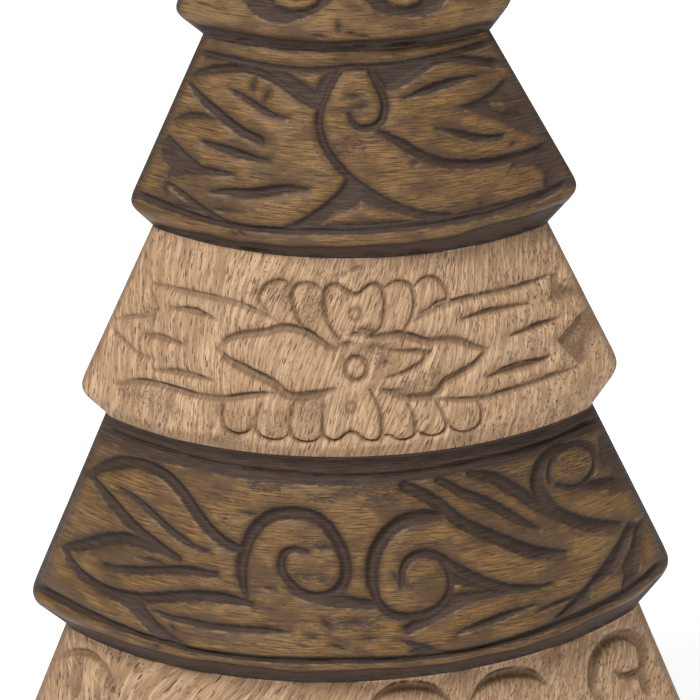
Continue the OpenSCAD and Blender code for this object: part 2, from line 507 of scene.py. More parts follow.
class Ring:
    """Level line round a tier: its two side points (x, z) and its sag between them, mm.

    A positive skew makes it sag more on its right than on its left.
    """

    def __init__(self, left, right, sag=0.0, skew=0.0, depth=None):
        self.left = left
        self.right = right
        self.sag = sag
        self.skew = skew
        self.middle = (left[0] + right[0]) / 2
        self.half = (right[0] - left[0]) / 2
        self.depth = depth or lens_depth(self.half)

    def height(self, x):
        """Height of the line at x."""
        turn = (x - self.middle) / self.half
        straight = (self.left[1] * (1 - turn) + self.right[1] * (1 + turn)) / 2
        return straight - (self.sag + self.skew * turn) * (1 - turn ** 2)

    def across(self, turn, nose_turn):
        """x and z at each column; turn and nose_turn place it between and on the rounded sides."""
        nose = min(NOSE, 0.4 * self.half)
        x = self.middle + (self.half - nose) * turn + nose * nose_turn
        return x, self.height(x)


# Where each pair of tiers meets, and each rim's crest; both lean and sag a little
JOINT_1_2 = Ring((-34.8, 227.3), (35.2, 227.2), sag=0.6)
JOINT_2_3 = Ring((-48.4, 178.0), (49.4, 177.4), sag=1.5)
JOINT_3_4 = Ring((-61.4, 128.5), (60.6, 129.0), sag=0.9)
JOINT_4_5 = Ring((-73.1, 71.2), (72.5, 74.5), sag=1.1)
FOOT = Ring((-85.5, 10.0), (85.5, 10.0))
RIM_1 = Ring((-42.1, 233.4), (41.3, 235.4), sag=3.6, skew=1.5)
RIM_2 = Ring((-54.3, 184.0), (57.4, 186.3), sag=4.1, skew=0.7)
RIM_3 = Ring((-68.1, 135.2), (67.5, 139.3), sag=5.0, skew=1.0)
RIM_4 = Ring((-82.4, 79.0), (80.9, 85.3), sag=4.3, skew=3.1)
RIM_5 = Ring((-92.8, 22.0), (92.8, 22.5), sag=3.4)
TIP = Ring((-3.4, 313.6), (2.6, 313.6), depth=2.8)
TIP_TOP = Ring((-1.6, 315.4), (1.0, 315.4), depth=1.2)


class Tier:
    """One tier: its rings from the foot up, the CAD's plain profile and the pattern's offset."""

    def __init__(self, node, rings, foot_z, plain, offset, bore_top=None):
        self.node = node
        self.rings = rings
        self.foot_z = foot_z
        self.plain = plain
        self.offset = offset
        self.bore_top = bore_top

    def columns(self):
        """Places of the mesh columns across a face, from one side's edge to the other's."""
        half = max(ring.half for ring in self.rings)
        angles = np.linspace(math.pi / 2, 0, NOSE_COLUMNS + 1)[:-1]
        body = np.linspace(-1, 1, int(2 * half / COLUMN))
        side = np.ones(NOSE_COLUMNS)
        turn = np.concatenate([-side, body, side])
        nose = np.concatenate([-np.sin(angles), np.zeros(len(body)), np.sin(angles)[::-1]])
        thin = np.concatenate([np.cos(angles), np.ones(len(body)), np.cos(angles)[::-1]])
        thin[[0, -1]] = 0
        return turn, nose, thin

    def ring_shares(self):
        """How much each ring counts in each mesh row, blurred along the flank to round the rims."""
        marks = [0.0]
        for a, b in zip(self.rings[:-1], self.rings[1:]):
            marks.append(marks[-1] + math.hypot(a.right[0] - b.right[0], a.right[1] - b.right[1]))
        rows = np.linspace(0, marks[-1], int(marks[-1] / ROW) + 1)
        shares = np.zeros((len(rows), len(self.rings)))
        for offset in np.linspace(-RIM_REACH, RIM_REACH, 17):
            room = np.minimum(rows, marks[-1] - rows)
            at = rows + np.clip(offset, -room, room)
            weight = math.exp(-(offset / RIM_BLUR) ** 2 / 2)
            for k in range(len(self.rings)):
                shares[:, k] += weight * np.interp(at, marks, np.eye(len(self.rings))[k])
        return shares / shares.sum(1, keepdims=True)

    def surface(self):
        """World x, y, z grids of the uncut front face, and each point's share of edge rounding."""
        turn, nose, thin = self.columns()
        shares = self.ring_shares()
        across = [ring.across(turn, nose) for ring in self.rings]
        x = shares @ np.array([a[0] for a in across])
        z = shares @ np.array([a[1] for a in across])
        left = shares @ np.array([ring.left[0] for ring in self.rings])
        right = shares @ np.array([ring.right[0] for ring in self.rings])
        half = ((right - left) / 2)[:, None]
        middle = ((right + left) / 2)[:, None]
        depth = shares @ np.array([ring.depth for ring in self.rings])
        y = -thin * face(depth[:, None], x - middle)
        return x, y, z, np.maximum(half - np.abs(x - middle), 0)

    def pattern_place(self, x, y, z):
        """Pattern coordinates: the uneven face seen from slightly above, laid on the plain one."""
        levels, halves = zip(*self.plain)
        across = x - self.offset
        seen = y * math.sin(VIEW_TILT) + z * math.cos(VIEW_TILT)
        height = z - self.foot_z
        for _ in range(8):
            depth = lens_depth(np.interp(height, levels, halves))
            rise = (seen + face(depth, across) * math.sin(VIEW_TILT)) / math.cos(VIEW_TILT)
            height = rise - self.foot_z
        return across, height


def outward(points):
    """Unit normals of a closed-loop grid of points, pointing away from the axis."""
    along = np.roll(points, -1, axis=1) - np.roll(points, 1, axis=1)
    up = np.gradient(points, axis=0)
    normal = np.cross(along, up)
    return normal / np.maximum(np.linalg.norm(normal, axis=2, keepdims=True), 1e-9)


def round_loop(front):
    """Grid for the whole loop: the front, then the same pattern again on the back."""
    return np.concatenate([front, front[:, 1:-1]], axis=1)


def hole_circle(side, ring):
    """Points round a dowel bore's mouth, on the line that the surface follows there."""
    turn = np.arange(BORE_SIDES) * 2 * math.pi / BORE_SIDES
    x = side * DOWEL_X + BORE_R * np.cos(turn)
    y = BORE_R * np.sin(turn)
    return np.stack([x, y, ring.height(x)], axis=1)


def cap_faces(loop, points, circles):
    """Triangles over a loop of vertices with circular holes left in it."""
    index = [loop, *circles]
    outlines = [[Vector((points[v][0], points[v][1], 0)) for v in part] for part in index]
    flat = [v for part in index for v in part]
    return [[flat[k] for k in face] for face in geometry.tessellate_polygon(outlines)]


def facing(faces, points, up):
    """Turns each face so that it looks up or down."""
    for face in faces:
        a, b, c = (points[v] for v in face[:3])
        rises = (b[0] - a[0]) * (c[1] - a[1]) - (b[1] - a[1]) * (c[0] - a[0]) > 0
        yield face if rises == up else face[::-1]


def build_tier(tier, carve, slot, grain_of, strength):
    """Closed mesh of a carved tier with its dowel bores; strength scales its carving's depth."""
    x, y, z, from_side = tier.surface()
    across, height = tier.pattern_place(x, y, z)
    carving = Carving(across, height)
    carve(carving)
    fade = np.clip(from_side / SIDE_FADE, 0, 1)
    # pillow: the wood rounds over into each cut; uneven: the waves of a face worked by hand
    from_cut = np.clip(carving.edge, 0, 9)
    pillow = 0.35 * np.exp(-from_cut / 0.7) + 0.5 * np.exp(-from_cut / 2.6)
    uneven = 0.12 * np.sin(0.19 * across + 0.31 * height) + 0.1 * np.sin(0.47 * across - 0.23 * height)
    cut = (strength * (carving.depth + pillow) + uneven) * fade
    # painted shadow just inside the upper side of each cut, and painted highlight on the edge just outside
    # its lower side
    slope = np.gradient(carving.edge, axis=0) / np.maximum(np.gradient(height, axis=0), 0.05)
    upper_lip_shadow = np.clip(slope, 0, 1) * np.exp(-((carving.edge + 0.25) / 0.45) ** 2)
    # painted highlight on the edge just outside the lower side of each cut
    lower_lip_highlight = np.clip(-slope, 0, 1) * np.exp(-((carving.edge - 0.3) / 0.35) ** 2)
    # painted shade along the narrow sides: they count as a cut here, so they take the cut's dark colour and
    # the shade round it
    edge = np.minimum(carving.edge, from_side - SIDE_SHADE)

    loop_points = np.concatenate([np.stack([x, y, z], 2), np.stack([x, -y, z], 2)[:, -2:0:-1]], axis=1)
    points = loop_points - outward(loop_points) * round_loop(cut)[..., None]
    points[[0, -1]] = loop_points[[0, -1]]
    rows, count = points.shape[:2]
    verts = [points.reshape(-1, 3)]
    faces = []
    index = np.arange(rows * count).reshape(rows, count)
    ahead = np.roll(index, -1, axis=1)
    quads = np.stack([index[:-1], ahead[:-1], ahead[1:], index[1:]], axis=2).reshape(-1, 4)
    total = rows * count

    def add(new):
        nonlocal total
        verts.append(new)
        total += len(new)
        return list(range(total - len(new), total))

    bottom, top = tier.rings[0], tier.rings[-1]
    bore_end = top
    if tier.bore_top is not None:
        bore_end = Ring((-DOWEL_X, tier.bore_top), (DOWEL_X, tier.bore_top))
    feet = [add(hole_circle(side, bottom)) for side in (-1, 1)]
    heads = [add(hole_circle(side, bore_end)) for side in (-1, 1)]
    place = np.concatenate(verts)
    faces += facing(cap_faces(index[0].tolist(), place, feet), place, False)
    open_heads = heads if tier.bore_top is None else []
    faces += facing(cap_faces(index[-1].tolist(), place, open_heads), place, True)
    for foot, head in zip(feet, heads):
        for k in range(BORE_SIDES):
            after = (k + 1) % BORE_SIDES
            faces.append([foot[after], foot[k], head[k], head[after]])
        if tier.bore_top is not None:
            faces.append(head[::-1])

    mesh = bpy.data.meshes.new(tier.node)
    mesh.from_pydata((place * MM).tolist(), [], quads.tolist() + [list(f) for f in faces])
    mesh.shade_smooth()
    mesh.set_sharp_from_angle(angle=SHARP)
    spare = len(place) - rows * count

    def store(name, front, rest):
        data = np.concatenate([round_loop(front).ravel(), np.full(spare, rest)])
        mesh.attributes.new(name, "FLOAT", "POINT").data.foreach_set("value", data)

    store("edge", edge, 6.0)
    store("wear_and_sheen", carving.wear_and_sheen, 0.0)
    store("upper_lip_shadow", upper_lip_shadow * fade, 0.0)
    store("lower_lip_highlight", lower_lip_highlight * fade, 0.0)
    first, second = grain_of(across, height)
    side = np.concatenate([np.zeros(x.shape), np.full((rows, count - x.shape[1]), BACK_GRAIN)], axis=1)
    grain = np.stack([round_loop(first), round_loop(second), side], axis=2).reshape(-1, 3)
    inner = place[rows * count:] + (0, 0, BORE_GRAIN)
    vectors = np.concatenate([grain, inner]).ravel()
    mesh.attributes.new("grain", "FLOAT_VECTOR", "POINT").data.foreach_set("vector", vectors)
    mesh.materials.append(bpy.data.materials[TIER_MATERIALS[slot]])
    piece = bpy.data.objects.new(tier.node + "_carved", mesh)
    bpy.context.scene.collection.objects.link(piece)
    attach(piece, "root")
    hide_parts(tier.node)


# ---- grain

def brushed_grain(across, height):
    """The dark tiers: brush marks lie across the face."""
    return across, height + 0.02 * across


def leaning_grain(lean, dots_from):
    """The natural tiers: fibres rise, leaning by `lean` (x, share) and shorter past dots_from."""
    def place(across, height):
        places, shares = zip(*lean)
        tilt = np.interp(across, places, shares)
        short = 1 + 1.6 * np.clip((across - dots_from) / 25, 0, 1)
        wander = 0.8 * np.sin(0.11 * height + 0.05 * across) + 0.5 * np.sin(0.19 * across)
        return across - tilt * (height - 24) + wander, height * short + 3 * np.sin(0.07 * across)
    return place


# ---- carved patterns

def carve_second(c):
    """Scroll in the middle with lobed leaves to each side."""
    c.below([(-55, 3.2), (-48, 2.6), (-40, 3), (-30, 2.3), (-20, 2.3), (-10, 2.5), (0, 2.6), (10, 3),
        (17, 3.4), (25, 3.7), (30, 4.8), (36, 5.5), (46, 5.8), (56, 7)])
    c.above([(-37, 50), (-20, 49.7), (0, 49.8), (10, 49.7), (20, 50), (36, 50.9)])
    # lines that border the face
    c.groove([(-38, 46.4), (-28, 46), (-18, 45.3), (-8, 45.2), (0, 46), (8, 46), (16, 46.5), (24, 47.3),
        (32, 48.3), (38, 49)], 1.6, (1, 1))
    c.groove([(-56, 10.9), (-48, 10), (-40, 8.9), (-30, 8), (-20, 7.9), (-10, 8.3), (0, 8.4), (10, 8.7),
        (20, 8.9), (30, 9.3), (40, 10), (48, 10.8), (56, 12)], 2, (1, 1))
    # ground between the leaves and the borders
    c.recess([(-21, 44.8), (-17, 45), (-10, 45), (-2.5, 45.5), (-4.6, 42), (-7, 37.5), (-9, 37.2),
        (-13, 39.3), (-18, 42.3)], 0.8)
    c.island([(-16, 44.7), (-12, 44.3), (-5.6, 44.9), (-8.5, 40.7), (-12, 42.2)], 0.4)
    c.recess([(5, 45.6), (12, 46), (22, 47), (19, 45.2), (15, 43), (11, 40.8), (8.7, 40), (7.8, 41.5),
        (6, 44)], 0.9)
    c.recess([(-1.2, 20.8), (0.8, 20.6), (3, 18.3), (8, 15.3), (13, 12.9), (18, 11.2), (25, 9.9), (10, 9),
        (-5, 8.8), (-18, 8.7), (-13, 10.8), (-7, 14.6), (-3, 18)], 1)
    c.island([(-8, 9.6), (-4, 12.8), (0.5, 13.6), (2.2, 15.2), (6, 13.6), (12, 11.9), (18, 10), (8, 10.3)],
        0.55)
    # left leaf, three lobes
    c.groove([(-39, 40.6), (-36, 42.2), (-32, 43.5), (-27, 44.3), (-23, 44.1), (-19, 42.8), (-15, 40.6),
        (-11, 38.3), (-8, 37)], 2, (0.4, 1))
    c.groove([(-39.5, 38.5), (-37, 36.3), (-34, 34), (-30, 31.6), (-26, 29.6), (-22.4, 28.4)], 2.3,
        (0.4, 0.9))
    c.groove([(-43.5, 29.6), (-40.5, 31.2), (-37, 31.9), (-33.5, 31.8)], 1.4)
    c.recess([(-47, 24.5), (-44.8, 25.8), (-41, 22.9), (-37, 20.8), (-33, 20.6), (-29, 20), (-29, 19.4),
        (-34, 19), (-39, 18.4), (-43, 17.2), (-45.8, 16.3), (-44.8, 18.8), (-46.8, 20)], 0.9)
    c.groove([(-47, 13.2), (-45.8, 14.9), (-43, 13.8), (-40, 12.3), (-36, 10.4), (-32, 9), (-28, 8.3)], 1.5)
    c.grooves(1.5, [(-30, 39.2), (-26, 37.6), (-22, 35.5), (-18.5, 34.2), (-15.5, 33.8)])
    c.grooves(1.9, [(-36.3, 25.9), (-32, 25.5), (-27, 24.6), (-22, 23.8), (-20.5, 23.8)], ends=(0.5, 0.5))
    c.grooves(2.3, [(-34.5, 15), (-31, 15.7), (-25, 16), (-20, 17), (-15, 17.9), (-11, 17.7)])
    # scroll and its hook
    c.groove([(-3, 45), (-5, 42), (-6.6, 38.5), (-7.7, 35), (-7.8, 32), (-6.8, 28.5), (-5, 25.5),
        (-2.7, 22.9), (-0.8, 21)], 1.9, (1, 1))
    c.groove([(5, 44.8), (6.6, 41.8), (8, 39), (8.4, 36.5), (8, 34.5), (7, 33), (5.6, 32.2), (3.8, 31.8),
        (2, 32), (0.5, 33.2), (-0.4, 35)], 1.9, (0.8, 0.5))
    # right leaf
    c.groove([(22, 46.2), (26, 46), (30, 45), (34, 43.8), (39, 42.5)], 1.9, (0.6, 1))
    c.groove([(9, 40.4), (12, 41.2), (16, 43.3), (20, 45.2), (24, 45.8)], 1.2)
    c.grooves(2.1, [(13.5, 38.3), (18, 39.6), (23, 40.5), (28, 41.1), (31.3, 41.1)])
    c.recess([(25.5, 34.8), (31, 35.6), (35, 37), (38.7, 39.6), (40.7, 38), (43, 33.5), (45.5, 29),
        (48.5, 23), (44, 25.3), (40, 27.8), (36, 30.3), (31, 33)], 0.9)
    c.island([(34.5, 34.9), (38.5, 33.6), (41.7, 31), (38, 31.4), (35, 33)], 0.5)
    c.grooves(1.8, [(21, 30.6), (25, 29.3), (29, 27.8), (33, 26.6), (37.3, 26.2)], ends=(0.3, 0.7))
    c.groove([(5.6, 31.4), (9, 29.8), (12.5, 27.8), (16, 25.6), (20, 23.6), (25, 22), (31, 21.2),
        (37, 20.9), (43, 20.9), (49, 21.6)], 2.2, (0.4, 0.8))
    c.groove([(-1, 21), (3, 18.3), (8, 15.3), (13, 13), (18, 11.2), (24, 10.3)], 1.6, (1, 1))
    c.groove([(24, 10.2), (30, 10.6), (38, 10.9), (46, 11.3), (53, 12.4)], 1.2)
    c.recess([(40, 20.3), (44, 20.6), (49, 21.2), (51, 17.5), (51.8, 13.5), (50, 11.8), (47.6, 12.2),
        (48.2, 15), (46, 17.7), (42, 18.3), (39.6, 18.6)], 0.4)
    # nicks and worn places
    c.marks(((-23.5, 42.5), (-24.3, 39)), ((-19.8, 40), (-21.5, 37)), ((-30, 5.8), (-28.4, 4.3)),
            ((-28, 6.4), (-26.2, 4.8)), ((-45, 10.6), (-38, 10.5)), ((-34.5, 11.3), (-27, 11.6)),
            ((31, 12.3), (32.5, 12)), ((15, 23.4), (16.6, 23.2)), ((39.5, 24), (41, 23.9)),
            ((-0.8, 39.4), (2, 39)), ((1, 36.6), (4, 36.8)), ((-46.8, 14.6), (-46.3, 12.4)))
    c.stains(
        (0.35, (-8, 26), (-2, 24), (4, 26), (6, 30), (0, 30), (-5, 30)),
        (0.3, (-2, 35), (5, 34), (6, 40), (-1, 41)),
        (0.5, (36, 31), (44, 27), (48, 30), (40, 38)),
        (0.45, (-50, 12), (-38, 9), (-30, 12), (-44, 13)))


def carve_fourth(c):
    """Two scrolls in the middle with leaf sprays to each side."""
    c.below([(-79, 3), (-70, 3), (-60, 3.8), (-50, 3.8), (-40, 3.6), (-30, 4), (-20, 3.8), (-10, 3.5),
        (0, 4.2), (10, 4.6), (20, 4.4), (30, 4.8), (40, 5.3), (50, 6.4), (57, 8), (65, 9), (72, 9.8),
        (80, 12.6)])
    c.above([(-63, 51.6), (-50, 50.7), (-40, 50.8), (-30, 50.3), (-20, 50), (0, 49.9), (15, 50.1),
        (30, 50.7), (45, 51.2), (53, 51.5), (63, 52)])
    c.groove([(-63, 53.9), (-50, 53.9), (-40, 53.4), (-30, 52.9), (-20, 52.7), (-10, 52.3), (0, 52.2),
        (10, 52.2), (20, 52.5), (30, 53), (40, 53.2), (50, 53.6), (63, 54.4)], 1.3, (1, 1), deep=0.8)
    c.groove([(-82, 11.4), (-70, 11), (-60, 10.2), (-50, 9), (-40, 7.9), (-30, 7.8), (-20, 8), (-10, 8.3),
        (0, 8.6), (10, 8.4), (20, 8.4), (30, 8.8), (40, 9.8), (50, 10.9), (60, 11.9), (70, 13.1),
        (81, 15.2)], 2.3, (1, 1))
    # left spray
    c.groove([(-65.3, 42.5), (-62.5, 45), (-58, 47.5), (-54, 48.6), (-50, 48.8), (-46, 47.8), (-42, 44.8),
        (-38.5, 40.9), (-35, 37.3), (-31.5, 35), (-28, 33.9), (-26.6, 34)], 2.7, (0.5, 0.7))
    c.grooves(1.7, [(-58, 41.7), (-54, 40.6), (-50, 38.5), (-46, 36), (-42, 34), (-38, 32.6),
        (-35.3, 32.3)])
    c.groove([(-66, 42.3), (-62, 39.2), (-58, 36.3), (-54, 33.8), (-50, 31.8), (-46, 30.3), (-43, 29.3)],
        2.8, (0.4, 0.5))
    c.groove([(-43, 29.2), (-48, 30.4), (-53, 31), (-58, 30.5), (-63, 28.5), (-67, 26.2), (-72, 23.6)], 2.7,
        (0.4, 0.6))
    c.grooves(0.9, [(-53.5, 27.3), (-50, 27.6), (-46.5, 27.4)])
    c.grooves(2, [(-62.8, 23.2), (-58, 23.5), (-53, 24.5), (-48, 25.7), (-43, 26.8), (-38, 27.2),
        (-33.5, 27.2)], ends=(0.4, 0.6))
    c.groove([(-72.8, 23), (-70.5, 20.3), (-67, 18.4), (-62, 17.6), (-57, 17.7), (-52, 18.4), (-47, 19.7),
        (-42, 21), (-37, 21.8), (-32, 22.1), (-28, 21.8), (-25, 21.4)], 2.5, (0.6, 0.5))
    c.recess([(-66, 18.2), (-56, 18.3), (-52.5, 17.2), (-49, 14), (-45, 11.5), (-41, 9.6), (-46, 9.4),
        (-50.5, 11), (-53, 12.8), (-56.6, 15.4), (-61, 16.2)], 0.7)
    c.grooves(1.5, [(-50, 16.3), (-45, 15.5), (-40, 15.4), (-35, 15.2), (-30, 15.3), (-25, 15.5),
        (-20, 15.7), (-15.5, 15.4)])
    # left scroll
    c.groove([(-26.2, 22.8), (-27, 26), (-27.2, 30), (-26.2, 34), (-24.6, 37.5), (-22, 40.7), (-18.5, 42.6),
        (-14, 43.3), (-9.5, 42.7), (-6, 40.6), (-3.6, 37.4), (-1.9, 34), (-1.2, 30.5), (-1.9, 27.3),
        (-4, 25.1)], 2.9, (0.35, 0.9))
    c.groove([(-4, 25.1), (-7, 24.3), (-10.5, 24.3), (-13.6, 25.6), (-16.2, 28), (-17.4, 31), (-16.5, 33.7),
        (-13.8, 34.8), (-10.6, 34.2)], 2, (1, 0.4))
    c.recess([(-16.2, 25.6), (-12, 24.7), (-8, 24.3), (-3, 24.8), (-0.5, 26.5), (-1.5, 24.6), (2, 23.6),
        (5.4, 23.3), (6, 22), (7.2, 20.9), (2, 21.2), (-4, 21.6), (-9, 22.4), (-14, 24)], 1)
    # right scroll
    c.groove([(24.8, 41), (20, 41.6), (15, 41.4), (11.4, 40.2), (8.3, 37.6), (6.2, 34.4), (5.2, 30.6),
        (5.3, 26.8)], 3.4, (0.5, 0.9))
    c.groove([(5.3, 27.2), (6.5, 23), (8.8, 20.4), (12, 19), (16, 18.8), (20, 19.5), (23, 21.5),
        (24.8, 24.5), (24.6, 28), (22.8, 31), (20, 32.8), (17, 33.1), (14.2, 32), (12.7, 29.6),
        (12.5, 26.2)], 2.1, (1, 0.6))
    # leaves that spring from the right scroll
    c.recess([(24, 30), (26, 27.8), (29, 26), (34, 23.4), (38, 21.8), (44, 20.8), (40, 20.6), (35, 20.9),
        (29, 20.3), (24, 18.3), (19, 16.3), (15.5, 15.2), (13.8, 14.8), (12.5, 16.5), (15, 18), (20, 19),
        (23.5, 21.5), (25, 25)], 1)
    c.island([(25.8, 24.9), (27.5, 25), (30, 23.8), (33.8, 22.8), (29, 22.8), (25.5, 22.9)], 0.5)
    c.groove([(21.5, 32.4), (25, 29.9), (29, 27.4), (33, 25.1), (37, 23.1), (41, 21.8), (45, 21.1),
        (50.5, 20.8)], 1.9, (1, 0.3))
    c.groove([(13.5, 49.2), (18, 46.8), (22, 44.2), (25, 41.4), (28, 39), (32, 36.6), (36, 34.4),
        (40, 32.2), (44, 30), (48, 28.3), (54.3, 26.9)], 3, (0.9, 0.25))
    c.groove([(22, 49.8), (25, 48), (28, 46), (32, 44), (36, 41.7), (40, 38.8), (43.5, 36.3), (47.5, 34)],
        2.3, (0.8, 0.3))
    c.groove([(30, 50.3), (35, 48.6), (39, 46), (42.5, 43.3), (46, 40.4), (50, 37.8), (54, 35), (58, 32.5),
        (62, 30.6), (68.5, 28.6)], 2.9, (0.6, 0.3))
    c.groove([(53.5, 52), (49.5, 50.2), (47.2, 47.5), (46.9, 44), (48.7, 40.6), (51, 37.6)], 3.4,
        (0.8, 0.8))
    c.groove([(52.2, 42.8), (55, 41.3), (58, 41.1), (61, 42.4), (62.2, 45), (61.3, 48), (58.5, 50.2),
        (55, 50.9), (51.6, 49.2), (50, 46.5), (50.3, 44)], 1.5, (0.8, 0.8))
    c.groove([(58, 41), (61, 39.9), (65, 38.8), (68, 37.6), (71, 36.2)], 2.7, (0.5, 1))
    c.recess([(62.8, 50.6), (66, 48.5), (67.7, 43), (70, 38.6), (66.4, 40), (66.6, 41.7), (63.9, 43.2),
        (63.2, 46)], 0.5)
    # lower right leaf, the wedge under it and the slots
    c.recess([(11.3, 13.9), (15, 13.1), (19, 11.8), (23.6, 9.8), (17, 9.5), (13.8, 10.6), (15.4, 11.4),
        (13, 12.8)], 0.8)
    c.grooves(1.8, [(26.3, 13.9), (30, 14.7), (35, 15.6), (40, 16.4), (45.5, 17)])
    c.grooves(1.1, [(46, 15.3), (50, 15.9), (55, 16.4), (59.5, 17.1)])
    c.recess([(49.5, 12), (53.5, 14.6), (58.5, 17.8), (63.5, 21.2), (67.5, 24.6), (70.6, 28.4), (73, 26.2),
        (70.6, 23.6), (68, 19.6), (66, 18.7), (61, 17.2), (60, 14.8), (56, 13.2)], 1.1)
    c.recess([(68, 14.2), (72.5, 14.8), (73.4, 18), (74, 23), (74.4, 27.8), (72.6, 26.4), (70.6, 21.5),
        (68.4, 19), (69, 17)], 0.9)
    # nicks and worn places
    c.marks(((-8.6, 35.4), (-4.6, 35.2)), ((-7, 18.6), (-5, 16.4)), ((-10.4, 14.9), (-8.8, 14.3)),
            ((-5.2, 13), (-1.8, 11.9)), ((-0.4, 18.2), (3, 17.8)), ((3, 14.4), (6, 14.2)),
            ((-49, 7.2), (-48.4, 4.6)), ((-8, 41.8), (-7, 41.6)), ((10.5, 29.3), (11.5, 26.8)),
            ((-45.4, 13.3), (-44.2, 13)), ((-22, 25.5), (-19, 25.3)), ((-27, 42), (-22, 42.4)))
    c.stains(
        (0.8, (-25, 49.8), (-17, 49.8), (-17, 47.8), (-24, 48)),
        (0.6, (-3, 49.8), (12, 49.8), (12, 48.3), (-2, 47.7)),
        (0.8, (-11, 47.2), (-4, 47.2), (-4, 45.9), (-11, 46)),
        (0.9, (4, 47.2), (11, 47), (11, 45.8), (4, 46)),
        (0.9, (-14, 29.6), (-6, 29), (-6, 27.6), (-14, 27.8)),
        (0.55, (-15, 38.2), (-3, 36.8), (-4, 35), (-12, 36)),
        (0.7, (13, 27.6), (19, 27.4), (19, 25.4), (13, 25.4)),
        (0.4, (8, 37), (28, 36), (24, 33.5), (10, 34)),
        (0.5, (-2, 20), (8, 19.6), (7, 16), (-8, 16), (-9, 18.5)),
        (0.35, (24, 49.8), (44, 50.8), (48, 44), (44, 43), (36, 46.5), (28, 46)),
        (0.4, (51.5, 49.8), (60.5, 49.4), (61, 44), (57, 42), (52, 43.5), (51, 46.5)),
        (0.3, (54, 21), (66, 22), (62, 18), (50, 17.8)),
        (0.4, (-42, 45.5), (-30, 42), (-28, 38), (-38, 41)),
        (-0.45, (36, 30), (52, 22), (64, 24), (66, 30), (56, 38), (40, 40)))


def petal(c, *points):
    """Thin outline of a petal."""
    c.groove(list(points), 1, (0.6, 0.6), deep=0.75)


